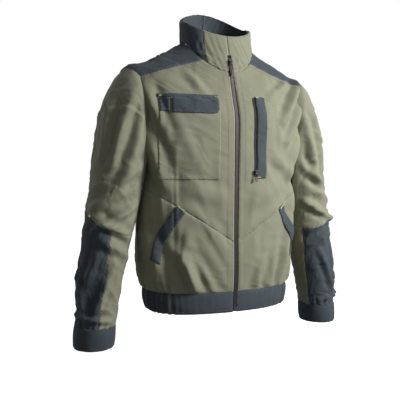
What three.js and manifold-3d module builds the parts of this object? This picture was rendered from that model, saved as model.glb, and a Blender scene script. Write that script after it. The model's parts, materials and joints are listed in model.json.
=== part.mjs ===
// Zip-front work jacket, worn shape. Millimetres, +Z up, front towards -Y, wearer's left towards +X.
// The origin is the middle of the neck at the height where the collar meets the shoulder seams.
import * as THREE from 'three';
import Module from 'manifold-3d';
import { mergeVertices } from 'three/addons/utils/BufferGeometryUtils.js';

const wasm = await Module();
wasm.setup();

// Driving dimensions of the body.
const hemDrop = 650;
const waistbandHeight = 48;
const bodyHalfWidth = 200;
const shoulderHalfWidth = 234;
const frontDepth = 117;
const backDepth = 128;
const breastDrop = 200;
const frontLean = 0.275;
const neckHalfWidth = 89;
const collarFrontHeight = 90;
const collarBackHeight = 76;
const frontNeckDrop = 92;

// Sleeves and cuffs.
const sleeveDrop = 722;
const cuffHeight = 48;
const cuffHalfWidth = 46;
const upperArmHalfWidth = 70;
const elbowDrop = 438;

// Cloth and clearances.
const cloth = 3.6;
const sleeveCloth = 3.2;
const patchCloth = 2.2;
const clearance = 0.5;
const seamGap = 0.4;

// Main zip.
const chainHalfWidth = 3.4;
const tapeHalfWidth = 14;
const tapeThickness = 1;
const zipSlot = 5.2;
const sliderLength = 16;
const sliderDrop = 70;
const pullerLength = 34;

// Pockets, as distances to the wearer's side of the centre front and below the origin.
const flapTop = 161;
const flapHeight = 34;
const flapInner = 44;
const flapOuter = 150;
const penTabWidth = 26;
const chestPocketBottom = 343;
const weltInner = 52;
const weltWidth = 27;
const weltTop = 149;
const weltLength = 190;
const handPocketTop = 408;
const handPocketLength = 132;
const handPocketWidth = 18;

const olive = 0x8f8d72;
const slate = 0x46545e;
const dark = 0x241f22;
const brass = 0x8c8488;
const lime = 0xc9d580;

const around = 40;
const sleeveAround = 20;
const frontAt = z => frontDepth - Math.max(0, z + breastDrop) * frontLean;

// A closed body through a list of rings of equal length, with a fan over each end.
function loft(rings) {
  const count = rings[0].length;
  const points = rings.flat();
  const faces = [];
  for (let i = 0; i < rings.length - 1; i += 1) {
    for (let j = 0; j < count; j += 1) {
      const a = i * count + j;
      const b = i * count + (j + 1) % count;
      faces.push(a, b, b + count, a, b + count, a + count);
    }
  }
  for (const [ring, first, turned] of [[rings[0], 0, true], [rings.at(-1), points.length - count, false]]) {
    const middle = ring.reduce((sum, p) => sum.add(p), new THREE.Vector3()).divideScalar(count);
    const centre = points.push(middle) - 1;
    for (let j = 0; j < count; j += 1) {
      const a = first + j;
      const b = first + (j + 1) % count;
      faces.push(...(turned ? [centre, b, a] : [centre, a, b]));
    }
  }
  const geometry = new THREE.BufferGeometry().setFromPoints(points);
  geometry.setIndex(faces);
  return geometry;
}

// A geometry with its place applied, as a solid that can be joined and cut.
function solid(geometry) {
  const bare = geometry.clone();
  bare.deleteAttribute('normal');
  bare.deleteAttribute('uv');
  const merged = mergeVertices(bare, 1e-4);
  const vertProperties = new Float32Array(merged.attributes.position.array);
  const triVerts = new Uint32Array(merged.index.array);
  const body = new wasm.Manifold(new wasm.Mesh({ numProp: 3, vertProperties, triVerts }));
  if (body.volume() > 0) {
    return body;
  }
  return new wasm.Manifold(new wasm.Mesh({ numProp: 3, vertProperties, triVerts: triVerts.reverse() }));
}

const box = (x0, x1, y0, y1, z0, z1) => solid(
  new THREE.BoxGeometry(x1 - x0, y1 - y0, z1 - z0).translate((x0 + x1) / 2, (y0 + y1) / 2, (z0 + z1) / 2));

// Everything further than offset along a direction: one side of a straight seam.
function beyond(x, y, z, offset) {
  const reach = 1800;
  const normal = new THREE.Vector3(x, y, z);
  const distance = offset / normal.length();
  normal.normalize();
  const turn = new THREE.Quaternion().setFromUnitVectors(new THREE.Vector3(0, 0, 1), normal);
  const half = new THREE.BoxGeometry(reach, reach, reach).translate(0, 0, reach / 2 + distance);
  return solid(half.applyQuaternion(turn));
}
const onBothSides = (x, y, z, offset) => {
  const length = Math.hypot(x, y, z);
  const half = seamGap / 2 * length;
  return [beyond(x, y, z, offset + half), beyond(-x, -y, -z, -offset + half)];
};
const cut = (body, ...limits) => limits.reduce((left, limit) => left.intersect(limit), body);

// One level of the body: heights at front, side and back, half width, depths and squareness.
const level = (zf, zs, zb, half, front, back, square = 2.4, rise = 0) => (
  { zf, zs, zb, half, front, back, square, rise });
const flat = (z, half, front, back, square) => level(z, z, z, half, front, back, square);
const bandTop = waistbandHeight - hemDrop;
const waistHalf = bodyHalfWidth - 16;
const bodyZ = share => bandTop + share * (-breastDrop - bandTop);
const armHalf = (bodyHalfWidth + shoulderHalfWidth) / 2;
const shoulderZ = -88;
const neckLevel = level(-frontNeckDrop, -12, 12, neckHalfWidth, frontAt(-frontNeckDrop), 88, 2, 0.5);
const shoulderSpan = shoulderHalfWidth - neckHalfWidth;
const torsoLevels = [
  flat(bandTop, waistHalf, frontDepth - 7, backDepth - 16, 2.4),
  flat(bodyZ(0.04), waistHalf + 9, frontDepth - 4, backDepth - 6, 2.4),
  flat(bodyZ(0.15), bodyHalfWidth + 2, frontDepth - 2, backDepth + 2, 2.4),
  flat(bodyZ(0.35), bodyHalfWidth, frontDepth - 3, backDepth + 2, 2.4),
  flat(bodyZ(0.67), bodyHalfWidth, frontDepth - 1, backDepth + 2, 2.5),
  flat(bodyZ(0.85), armHalf - 6, frontDepth, backDepth, 2.6),
  flat(-breastDrop, armHalf + 5, frontDepth, backDepth - 6, 2.6),
  level(-160, -140, -130, shoulderHalfWidth - 4, frontAt(-160), backDepth - 14, 2.6, 0.1),
  level(-135, shoulderZ, -80, shoulderHalfWidth, frontAt(-135), backDepth - 22, 2.4, 0.6),
  level(-118, -62, -45, neckHalfWidth + 0.62 * shoulderSpan, frontAt(-118), backDepth - 28, 2.2, 0.8),
  level(-105, -36, -15, neckHalfWidth + 0.25 * shoulderSpan, frontAt(-105), backDepth - 34, 2, 0.8),
  neckLevel,
];
const bandLevels = [
  flat(-hemDrop, waistHalf - 6, frontDepth - 9, backDepth - 16, 2.4),
  flat(bandTop - seamGap, waistHalf, frontDepth - 7, backDepth - 16, 2.4),
];
const collarTop = collarFrontHeight - frontNeckDrop;
const collarLevels = [
  { ...neckLevel, zf: neckLevel.zf + seamGap, zs: neckLevel.zs + seamGap, zb: neckLevel.zb + seamGap, rise: 0 },
  level(collarTop - 45, 12, 12 + 0.5 * collarBackHeight, neckHalfWidth + 1, frontAt(collarTop - 45), 88, 2),
  level(collarTop, 36, 12 + collarBackHeight, neckHalfWidth + 2, frontAt(collarTop), 86, 2),
];

// The point of a level at an angle from the wearer's left, moved out by a thickness.
function onLevel(row, angle, out) {
  const c = Math.cos(angle);
  const s = Math.sin(angle);
  const depth = s < 0 ? row.front : row.back;
  const end = s < 0 ? row.zf : row.zb;
  const x = Math.sign(c) * Math.abs(c) ** (2 / row.square) * (row.half + out);
  const y = Math.sign(s) * Math.abs(s) ** (2 / row.square) * (depth + out);
  const bend = Math.abs(s) ** 1.5;
  return new THREE.Vector3(x, y, row.zs + (end - row.zs) * bend + out * row.rise * (1 - bend));
}
const ring = (row, out) => Array.from({ length: around }, (_, j) => onLevel(row, j / around * 2 * Math.PI, out));
const raised = (row, by) => ({ ...row, zf: row.zf + by, zs: row.zs + by, zb: row.zb + by });
const filled = (rows, out) => solid(loft(rows.map(row => ring(row, out))));
function layer(rows, inner, outer) {
  const bore = [raised(rows[0], -10), ...rows, raised(rows.at(-1), 10)];
  return filled(rows, outer).subtract(filled(bore, inner));
}

// Half width of the body's outer face at a height and depth, for the sleeves to hang clear of.
function bodyEdge(y, z) {
  const upper = Math.max(1, torsoLevels.findIndex(row => row.zs >= z));
  const low = torsoLevels[upper - 1];
  const high = torsoLevels[upper];
  const share = (z - low.zs) / (high.zs - low.zs);
  const mix = key => low[key] + share * (high[key] - low[key]);
  const reach = Math.min(1, Math.abs(y) / mix(y < 0 ? 'front' : 'back'));
  return mix('half') * (1 - reach ** mix('square')) ** (1 / mix('square'));
}

// Sleeve rings: centre, slope of the ring in degrees, half width and half depth.
const cuffTop = cuffHeight - sleeveDrop;
const armDrop = share => -350 + share * (cuffTop + 350);
const sleeveRings = [
  { x: shoulderHalfWidth - 44, z: -165, slope: 80, wide: 82, deep: 62 },
  { x: shoulderHalfWidth - 22, z: -172, slope: 76, wide: 92, deep: upperArmHalfWidth + 4 },
  { x: shoulderHalfWidth - 8, z: -207, slope: 50, wide: 83, deep: upperArmHalfWidth + 5 },
  { x: shoulderHalfWidth - 1, z: -274, slope: 22, wide: upperArmHalfWidth, deep: upperArmHalfWidth + 2 },
  { x: shoulderHalfWidth + 16, z: armDrop(0), slope: 9, wide: upperArmHalfWidth - 8, deep: upperArmHalfWidth - 3 },
  { x: shoulderHalfWidth + 35, z: armDrop(0.28), slope: 5, wide: cuffHalfWidth + 12, deep: cuffHalfWidth + 17 },
  { x: shoulderHalfWidth + 50, z: armDrop(0.56), slope: 3, wide: cuffHalfWidth + 7, deep: cuffHalfWidth + 12 },
  { x: shoulderHalfWidth + 64, z: armDrop(0.84), slope: 2, wide: cuffHalfWidth + 3, deep: cuffHalfWidth + 7 },
  { x: shoulderHalfWidth + 70, z: cuffTop, slope: 0, wide: cuffHalfWidth + 1, deep: cuffHalfWidth + 5 },
];
const cuffRings = [
  { ...sleeveRings.at(-1), z: cuffTop - seamGap },
  { x: shoulderHalfWidth + 73, z: -sleeveDrop, slope: 0, wide: cuffHalfWidth, deep: cuffHalfWidth + 3 },
];
function sleeveRing(spec, side, out) {
  const slope = THREE.MathUtils.degToRad(spec.slope);
  return Array.from({ length: sleeveAround }, (_, j) => {
    const angle = j / sleeveAround * 2 * Math.PI;
    const reach = (spec.wide + out) * Math.cos(angle);
    const y = (spec.deep + out) * Math.sin(angle);
    const z = spec.z + reach * Math.sin(slope);
    let x = spec.x + reach * Math.cos(slope);
    if (spec.z < -305 && spec.z > -hemDrop) {
      x = Math.max(x, bodyEdge(y, Math.max(z, bandTop)) + 2.5 - out);
    }
    return new THREE.Vector3(side * x, y, z);
  });
}
const tube = (rings, side, out) => solid(loft(rings.map(spec => sleeveRing(spec, side, out))));
function tubeLayer(rings, side, inner, outer) {
  const bore = [{ ...rings[0], x: rings[0].x - 12 }, ...rings, { ...rings.at(-1), z: rings.at(-1).z - 12 }];
  return tube(rings, side, outer).subtract(tube(bore, side, inner));
}

const jacket = new THREE.Group();
function add(name, body, color, metalness = 0, parent = jacket) {
  const mesh = body.getMesh();
  const geometry = new THREE.BufferGeometry();
  geometry.setAttribute('position', new THREE.BufferAttribute(new Float32Array(mesh.vertProperties), 3));
  geometry.setIndex(new THREE.BufferAttribute(new Uint32Array(mesh.triVerts), 1));
  const roughness = metalness > 0 ? 0.4 : 0.85;
  const piece = new THREE.Mesh(geometry, new THREE.MeshStandardMaterial({ color, roughness, metalness }));
  piece.name = name;
  parent.add(piece);
}

// An upright prism through the front or back, from corners given as across and up.
function prism(corners, back = false) {
  const shape = new THREE.Shape(corners.map(([x, z]) => new THREE.Vector2(x, z)));
  const block = new THREE.ExtrudeGeometry(shape, { depth: 400, bevelEnabled: false });
  return solid(block.rotateX(Math.PI / 2).translate(0, back ? 400 : 0, 0));
}
const oblong = (x0, x1, z0, z1) => prism([[x0, z0], [x1, z0], [x1, z1], [x0, z1]]);

// Body panels: fronts split by a slanting seam, one back, and a shaped yoke over the shoulders.
const sides = [['right', -1], ['left', 1]];
const armholes = sides.map(([, side]) => [1, 2].reduce(
  (arm, steps) => arm.add(tube(sleeveRings, side, steps * clearance)), tube(sleeveRings, side, 0)));
const torso = armholes.reduce((body, arm) => body.subtract(arm), layer(torsoLevels, -cloth, 0));
const [behind, before] = onBothSides(0, 1, 0, 0);
for (const [word, side] of sides) {
  const [yokeSide, belowYoke] = onBothSides(side * 0.33, 0, 1, -42);
  const [upper, lower] = onBothSides(-side * 0.63, 0, 1, -490);
  const ownSide = beyond(side, 0, 0, zipSlot);
  add(`front_panel_${word}`, cut(torso, before, ownSide, belowYoke, upper), olive);
  add(`front_skirt_${word}`, cut(torso, before, ownSide, belowYoke, lower), olive);
  add(`yoke_front_${word}`, cut(torso, before, ownSide, yokeSide), slate);
}
const [overYoke, underYoke] = onBothSides(0, 0, 1, -130);
add('yoke_back', cut(torso, behind, overYoke), slate);
add('back_panel', cut(torso, behind, underYoke), olive);

// Waistband: plain at front and back, elasticated at the sides.
const band = layer(bandLevels, -cloth, 0);
const elasticStart = 140;
for (const [word, side] of sides) {
  const [elasticSide, plainSide] = onBothSides(side, 0, 0, elasticStart);
  add(`waistband_front_${word}`, cut(band, before, beyond(side, 0, 0, zipSlot), plainSide), slate);
  add(`waistband_elastic_${word}`, cut(band, elasticSide), slate);
}
const inElastic = elasticStart - seamGap / 2;
add('waistband_back', cut(band, behind, box(-inElastic, inElastic, 0, 400, -hemDrop - 1, bandTop)), slate);

// Stand collar: olive front pieces, a dark back piece and a dark lining.
const collarSeam = 0.64 * neckHalfWidth;
const collarSlot = box(-zipSlot, zipSlot, -300, 0, -frontNeckDrop - 20, collarTop - 48);
const collar = layer(collarLevels, -cloth, 0).subtract(collarSlot);
const [collarBack, collarRight] = onBothSides(-1, 0, 0, collarSeam);
const collarFrontSide = beyond(0, -1, 0, 15);
add('collar_front_right', cut(collar, beyond(-1, 0, 0, 0.6), collarRight, collarFrontSide), olive);
add('collar_front_left', cut(collar, beyond(1, 0, 0, 0.6), collarFrontSide), olive);
const backOfCollar = beyond(0, 1, 0, -15 + seamGap);
add('collar_back', cut(collar, collarBack.add(cut(backOfCollar, collarRight.add(box(-collarSeam - 1, 0, 0, 300, -200, 300))))),
  slate);
const liningOut = -cloth - tapeThickness - 4 * clearance;
const lining = layer(collarLevels, liningOut - 2, liningOut);
add('collar_lining', lining.subtract(box(-0.6, 0.6, -300, 0, -300, 300)), slate);

// Sleeves: upper sleeve, slate patch over the outer forearm, olive strip inside it, and cuff.
const patchTurns = { right: [0.929, 0.37, -15.9], left: [0.972, -0.235, -32.4] };
const armSlope = 0.147;
for (const [word, side] of sides) {
  const sleeve = tubeLayer(sleeveRings, side, -sleeveCloth, 0);
  const elbowX = sleeveRings[5].x;
  const [above, below] = onBothSides(-side * 0.4, -0.35, 1, -elbowDrop - 0.4 * elbowX);
  const [outward, turn, offset] = patchTurns[word];
  const along = outward * (elbowX - armSlope * elbowDrop) + offset;
  const [outer, inner] = onBothSides(side * outward, turn, outward * armSlope, along);
  add(`upper_sleeve_${word}`, cut(sleeve, above), olive);
  add(`forearm_patch_${word}`, cut(sleeve, below, outer), slate);
  add(`forearm_strip_${word}`, cut(sleeve, below, inner), olive);
  add(`cuff_${word}`, tubeLayer(cuffRings, side, -sleeveCloth, 0), slate);
  const pull = tubeLayer(sleeveRings, side, clearance, clearance + patchCloth);
  const pullX = elbowX + 30;
  const x0 = side > 0 ? pullX : -pullX - 45;
  add(`elbow_pull_${word}`, cut(pull, box(x0, x0 + 45, -34, -20, 8 - elbowDrop, 22 - elbowDrop)), lime);
}

// Pieces sewn on the outside of the body, in layers that grow outwards and stop clear of the arms.
const clearOfArms = sewn => armholes.reduce((left, arm) => left.subtract(arm), sewn);
const firstLayer = clearOfArms(layer(torsoLevels, clearance, clearance + patchCloth));
const secondOut = 2 * clearance + patchCloth;
const secondLayer = clearOfArms(layer(torsoLevels, secondOut, secondOut + patchCloth));
const tackLayer = layer(torsoLevels, secondOut, secondOut + 0.8);

add('chest_pocket', cut(firstLayer,
  oblong(-flapOuter - penTabWidth - 2, -flapInner + 2, -chestPocketBottom, -flapTop - seamGap)), olive);
add('flap_band', cut(firstLayer, oblong(-flapOuter - penTabWidth - 4, -flapInner, -flapTop, 9 - flapTop)), slate);
const flapBottom = -flapTop - flapHeight;
const flapRadius = 12;
const roundCorner = Array.from({ length: 5 }, (_, i) => {
  const angle = -Math.PI / 2 + i / 4 * Math.PI / 2;
  return [-flapInner - flapRadius + flapRadius * Math.cos(angle),
    flapBottom + flapRadius + flapRadius * Math.sin(angle)];
});
add('chest_flap', cut(secondLayer,
  prism([[-flapOuter, flapBottom], ...roundCorner, [-flapInner, -flapTop - 1], [-flapOuter, -flapTop - 1]])), slate);
add('pen_slot_tab', cut(secondLayer,
  oblong(-flapOuter - penTabWidth, -flapOuter - 4, flapBottom + 3, -flapTop - 1)), slate);
add('flap_bartack_inner', cut(tackLayer, oblong(-flapInner - 9, -flapInner - 1, 2 - flapTop, 6 - flapTop)), lime);
add('flap_bartack_outer', cut(tackLayer,
  oblong(-flapOuter - penTabWidth, -flapOuter - penTabWidth + 8, 2 - flapTop, 6 - flapTop)), lime);

// Vertical zip pocket on the wearer's left chest: a coil zip beside a raised welt.
const weltBottom = -weltTop - weltLength;
const coilInner = weltInner - 7;
add('chest_zip_welt', cut(firstLayer, oblong(weltInner, weltInner + weltWidth, weltBottom, -weltTop)), slate);
add('chest_zip_coil', cut(layer(torsoLevels, clearance, clearance + 1.2),
  oblong(coilInner, weltInner - seamGap, weltBottom + 3, -weltTop - 3)), dark);
for (const [end, z] of [['top', -weltTop - 5], ['bottom', weltBottom + 1]]) {
  add(`chest_zip_bartack_${end}`, cut(tackLayer, oblong(weltInner + 1, weltInner + 8, z, z + 3)), lime);
}

// Slanting hand pockets: a welt on the seam, a bartack at its top and a bag inside.
const innerLayer = layer(torsoLevels, -cloth - 2 * clearance - patchCloth, -cloth - 2 * clearance);
const pocketLean = 0.4;
for (const [word, side] of sides) {
  const topX = 138;
  const low = handPocketTop + handPocketLength;
  const lowX = topX + pocketLean * handPocketLength;
  const mirror = corners => corners.map(([x, z]) => [side * x, z]);
  add(`hand_pocket_welt_${word}`, cut(firstLayer, prism(mirror([[topX, -handPocketTop],
    [topX - handPocketWidth * 0.6, -handPocketTop - 9], [lowX - handPocketWidth, -low], [lowX, -low]]))), slate);
  add(`hand_pocket_bartack_${word}`, cut(tackLayer, prism(mirror([[topX - 3, -handPocketTop - 3],
    [topX - 8, -handPocketTop - 7], [topX - 5, -handPocketTop - 10], [topX, -handPocketTop - 6]]))), lime);
  add(`hand_pocket_bag_${word}`, cut(innerLayer, prism(mirror([[60, -handPocketTop - 30],
    [topX + 20, -handPocketTop], [lowX - 16, -low], [lowX - 30, bandTop + 12], [60, bandTop + 12]]))), dark);
}
add('chest_pocket_bag', cut(innerLayer, oblong(weltInner - 4, 140, weltBottom - 4, -weltTop)), dark);
const labelLayer = layer(torsoLevels, -cloth - clearance - 0.8, -cloth - clearance);
add('neck_label', cut(labelLayer, box(-24, 24, 20, 200, -56, -28)), dark);
const loopOut = -cloth - 2 * clearance - 0.8;
add('hanger_loop', cut(layer(torsoLevels, loopOut - 1.4, loopOut), box(-36, 36, 20, 200, -24, -14)), dark);

// A strip that follows the centre front between two heights.
function frontStrip(x0, x1, inner, outer, bottom, top) {
  const breaks = [...bandLevels, ...torsoLevels, ...collarLevels].map(row => row.zf);
  const heights = [bottom, ...breaks.filter(z => z > bottom + 1 && z < top - 1), top];
  const unique = heights.filter((z, i) => i === 0 || z - heights[i - 1] > 1);
  const depthAt = z => {
    const rows = [...bandLevels, ...torsoLevels.slice(1), ...collarLevels.slice(1)];
    const upper = Math.max(1, rows.findIndex(row => row.zf >= z));
    const [low, high] = [rows[upper - 1], rows[upper]];
    return low.front + (z - low.zf) / (high.zf - low.zf) * (high.front - low.front);
  };
  return solid(loft(unique.map(z => [
    new THREE.Vector3(x0, -depthAt(z) - outer, z), new THREE.Vector3(x1, -depthAt(z) - outer, z),
    new THREE.Vector3(x1, -depthAt(z) - inner, z), new THREE.Vector3(x0, -depthAt(z) - inner, z)])));
}
const tapeTop = collarTop - 50;
const tapeFace = -cloth - 2 * clearance;
const boxHeight = 12;
const chainTop = -sliderDrop + sliderLength / 2;
for (const [word, side] of sides) {
  const [t0, t1] = [0.3 * side, tapeHalfWidth * side].sort((a, b) => a - b);
  const [c0, c1] = [0.3 * side, chainHalfWidth * side].sort((a, b) => a - b);
  add(`zip_tape_${word}`, frontStrip(t0, t1, tapeFace - tapeThickness, tapeFace, 2 - hemDrop, tapeTop), dark);
  const chainBottom = 3 - hemDrop + boxHeight;
  add(`zip_teeth_${word}`, frontStrip(c0, c1, tapeFace + 0.4, -0.5, chainBottom, chainTop), brass, 0.7);
  add(`zip_top_stop_${word}`, frontStrip(c0, c1, tapeFace + 0.4, -0.5, chainTop + 1, chainTop + 4), brass, 0.7);
}
add('zip_box', frontStrip(-4.4, 4.4, tapeFace + 0.4, 0.6, 2 - hemDrop, 2 - hemDrop + boxHeight), brass, 0.7);
const guardFace = tapeFace - tapeThickness - clearance;
add('zip_guard', frontStrip(-20, 17, guardFace - 1.6, guardFace, 4 - hemDrop, -frontNeckDrop - 8), olive);

// A slider with two cheeks and a pin, and its puller, in the frame of the chain it runs on.
function sliderPair(name, group, half, length, reach) {
  const pinOut = 4.8;
  const across = () => new THREE.CylinderGeometry(1, 1, 1, 16).rotateZ(Math.PI / 2);
  const wing = box(-half, half, -2.4, 0, -length / 2, length / 2);
  const cheeks = [-1, 1].map(side => box(Math.min(side * 2.5, side * 3.4), Math.max(side * 2.5, side * 3.4),
    -pinOut - 1.2, -2.3, 1, 4));
  const pin = solid(across().scale(6, 0.8, 0.8).translate(0, -pinOut, 2.5));
  add(`${name}_slider`, [...cheeks, pin].reduce((body, piece) => body.add(piece), wing), brass, 0.8, group);
  const eye = solid(across().scale(4.2, 2.1, 2.1).translate(0, -pinOut, 2.5));
  const hole = solid(across().scale(9, 1.3, 1.3).translate(0, -pinOut, 2.5));
  const neck = box(-1.6, 1.6, -pinOut - 0.8, -pinOut + 0.8, -3, 1.6);
  const tongue = box(-3, 3, -pinOut - 0.8, -pinOut + 0.8, -reach, -2.5);
  add(`${name}_puller`, eye.add(neck).add(tongue).subtract(hole), brass, 0.8, group);
}
const mainSlide = new THREE.Group();
mainSlide.position.set(0, -frontAt(-sliderDrop) - 0.1, -sliderDrop);
mainSlide.rotation.x = -Math.atan(frontLean);
jacket.add(mainSlide);
sliderPair('main', mainSlide, 4.6, sliderLength, pullerLength);
const chestSlide = new THREE.Group();
chestSlide.position.set((coilInner + weltInner) / 2 - 0.6, -frontDepth - 0.6, weltBottom + 14);
jacket.add(chestSlide);
sliderPair('chest', chestSlide, 3.5, 10, 22);

export default jacket;
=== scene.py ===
# A zip-front work jacket in its worn shape, built around its CAD frame. Metres, front towards -Y.
import json
import math

import bmesh
import bpy
import numpy as np
from mathutils import Matrix, Vector
from mathutils.bvhtree import BVHTree
from mathutils.kdtree import KDTree


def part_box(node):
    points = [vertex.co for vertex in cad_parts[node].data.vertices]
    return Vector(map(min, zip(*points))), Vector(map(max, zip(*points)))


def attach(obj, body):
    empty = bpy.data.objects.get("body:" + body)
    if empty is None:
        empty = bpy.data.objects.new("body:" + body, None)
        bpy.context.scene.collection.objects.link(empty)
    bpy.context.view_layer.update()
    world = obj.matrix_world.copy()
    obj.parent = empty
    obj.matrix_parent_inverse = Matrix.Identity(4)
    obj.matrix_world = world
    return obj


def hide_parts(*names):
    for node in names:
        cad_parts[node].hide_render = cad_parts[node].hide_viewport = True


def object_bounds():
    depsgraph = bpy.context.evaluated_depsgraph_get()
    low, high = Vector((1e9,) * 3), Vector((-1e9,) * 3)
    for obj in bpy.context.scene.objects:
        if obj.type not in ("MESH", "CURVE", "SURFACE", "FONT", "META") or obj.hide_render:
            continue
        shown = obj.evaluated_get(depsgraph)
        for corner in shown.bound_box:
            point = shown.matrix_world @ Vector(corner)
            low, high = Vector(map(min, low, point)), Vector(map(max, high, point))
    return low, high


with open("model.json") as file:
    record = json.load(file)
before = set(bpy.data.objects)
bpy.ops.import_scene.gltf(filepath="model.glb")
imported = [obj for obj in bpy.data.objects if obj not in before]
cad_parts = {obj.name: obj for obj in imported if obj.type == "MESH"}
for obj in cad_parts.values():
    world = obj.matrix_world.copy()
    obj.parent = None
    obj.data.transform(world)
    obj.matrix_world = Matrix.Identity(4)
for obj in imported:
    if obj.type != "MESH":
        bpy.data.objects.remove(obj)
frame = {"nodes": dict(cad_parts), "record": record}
cad_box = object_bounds()

# Camera: level with the chest, a little to the wearer's right, close enough for real perspective.
# It is aimed just below the middle of the body, so that the jacket stands upright in the frame.
view_turn = math.radians(25)
view_distance = 1.3
chest_height = -0.35
camera_data = bpy.data.cameras.new("camera")
camera_data.sensor_width = 36
camera_data.lens = 46.8
camera = bpy.data.objects.new("camera", camera_data)
bpy.context.collection.objects.link(camera)
camera.location = (-math.sin(view_turn) * view_distance, -math.cos(view_turn) * view_distance, chest_height)
aim = Vector((-0.0351, 0.0164, -0.3925))
camera.rotation_euler = (aim - camera.location).to_track_quat("-Z", "Y").to_euler()
bpy.context.scene.camera = camera

# Studio: a white floor and a white surround that light the cloth only weakly, a soft key close to the
# wearer's left, a faint light from the front and a faint rim, so the far side stays dark.
floor_gap = 0.06
floor_half = 6
floor_mesh = bmesh.new()
bmesh.ops.create_grid(floor_mesh, x_segments=1, y_segments=1, size=floor_half)
bmesh.ops.translate(floor_mesh, verts=floor_mesh.verts, vec=(0, 0, cad_box[0][2] - floor_gap))
floor_data = bpy.data.meshes.new("floor")
floor_mesh.to_mesh(floor_data)
floor_mesh.free()
floor = bpy.data.objects.new("floor", floor_data)
bpy.context.collection.objects.link(floor)
floor_paint = bpy.data.materials.new("floor")
floor_paint.use_nodes = True
floor_shader = floor_paint.node_tree.nodes["Principled BSDF"]
floor_shader.inputs["Base Color"].default_value = (0.9, 0.9, 0.9, 1)
floor_shader.inputs["Roughness"].default_value = 0.9
floor_shader.inputs["Emission Color"].default_value = (1, 1, 1, 1)
floor_shader.inputs["Emission Strength"].default_value = 0.9
floor_data.materials.append(floor_paint)
floor.visible_diffuse = False
floor.visible_glossy = False
world = bpy.data.worlds.new("studio")
world.use_nodes = True
sky = world.node_tree.nodes["Background"]
sky.inputs["Color"].default_value = (1, 1, 1, 1)
seen_sky = world.node_tree.nodes.new("ShaderNodeMapRange")
light_from_surround = 0.17
seen_sky.inputs["To Min"].default_value = light_from_surround
seen_sky.inputs["To Max"].default_value = 1.0
sky_ray = world.node_tree.nodes.new("ShaderNodeLightPath")
world.node_tree.links.new(sky_ray.outputs["Is Camera Ray"], seen_sky.inputs["Value"])
world.node_tree.links.new(seen_sky.outputs["Result"], sky.inputs["Strength"])
bpy.context.scene.world = world
bpy.context.scene.view_settings.view_transform = "Standard"
chest_middle = Vector((0, 0, -0.3))
for light_name, place, power, side in (
    ("key", (1.02, -1.12, 0.2), 38, 0.5),
    ("front", (0.3, -2.2, 0.5), 4, 0.8),
    ("rim", (-1.4, 1.3, 0.4), 5, 0.9),
):
    light_data = bpy.data.lights.new(light_name, "AREA")
    light_data.energy = power
    light_data.size = side
    light = bpy.data.objects.new(light_name, light_data)
    bpy.context.collection.objects.link(light)
    light.location = place
    light.rotation_euler = (chest_middle - Vector(place)).to_track_quat("-Z", "Y").to_euler()


# Cloth finishes: cotton and polyester twill in olive and slate, a dark lining, lime thread, dark zip
# tape and blackened metal. Each is woven or grained by its nodes on the piece's own cloth map.
class Wire:
    """A shader socket that arithmetic works on."""

    def __init__(self, tree, socket=None):
        self.tree = tree
        self.socket = socket

    def node(self, kind, settings=None, sockets=None, output=0):
        made = self.tree.nodes.new(kind)
        for key, value in (settings or {}).items():
            setattr(made, key, value)
        for key, value in (sockets or {}).items():
            if isinstance(value, Wire):
                self.tree.links.new(value.socket, made.inputs[key])
            else:
                made.inputs[key].default_value = value
        return Wire(self.tree, made.outputs[output])

    def math(self, operation, *values):
        return self.node("ShaderNodeMath", {"operation": operation}, dict(enumerate(values)))

    def __add__(self, other):
        return self.math("ADD", self, other)

    def __sub__(self, other):
        return self.math("SUBTRACT", self, other)

    def __rsub__(self, other):
        return self.math("SUBTRACT", other, self)

    def __mul__(self, other):
        return self.math("MULTIPLY", self, other)

    __radd__ = __add__
    __rmul__ = __mul__

    def sine(self):
        return self.math("SINE", self)

    def clamp(self):
        return self.node("ShaderNodeClamp", None, {"Value": self})

    def blend(self, low, high):
        sockets = {0: self, 6: low, 7: high}
        return self.node("ShaderNodeMix", {"data_type": "RGBA"}, sockets, output=2)


def finish(name, roughness, metallic=0.0, sheen=0.0):
    paint = bpy.data.materials.new(name)
    paint.use_nodes = True
    shader = paint.node_tree.nodes["Principled BSDF"]
    shader.inputs["Roughness"].default_value = roughness
    shader.inputs["Metallic"].default_value = metallic
    shader.inputs["Sheen Weight"].default_value = sheen
    shader.inputs["Sheen Roughness"].default_value = 0.45
    return paint, shader, Wire(paint.node_tree)


def connect(wire, shader, socket):
    wire.tree.links.new(wire.socket, shader.inputs[socket])


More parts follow.
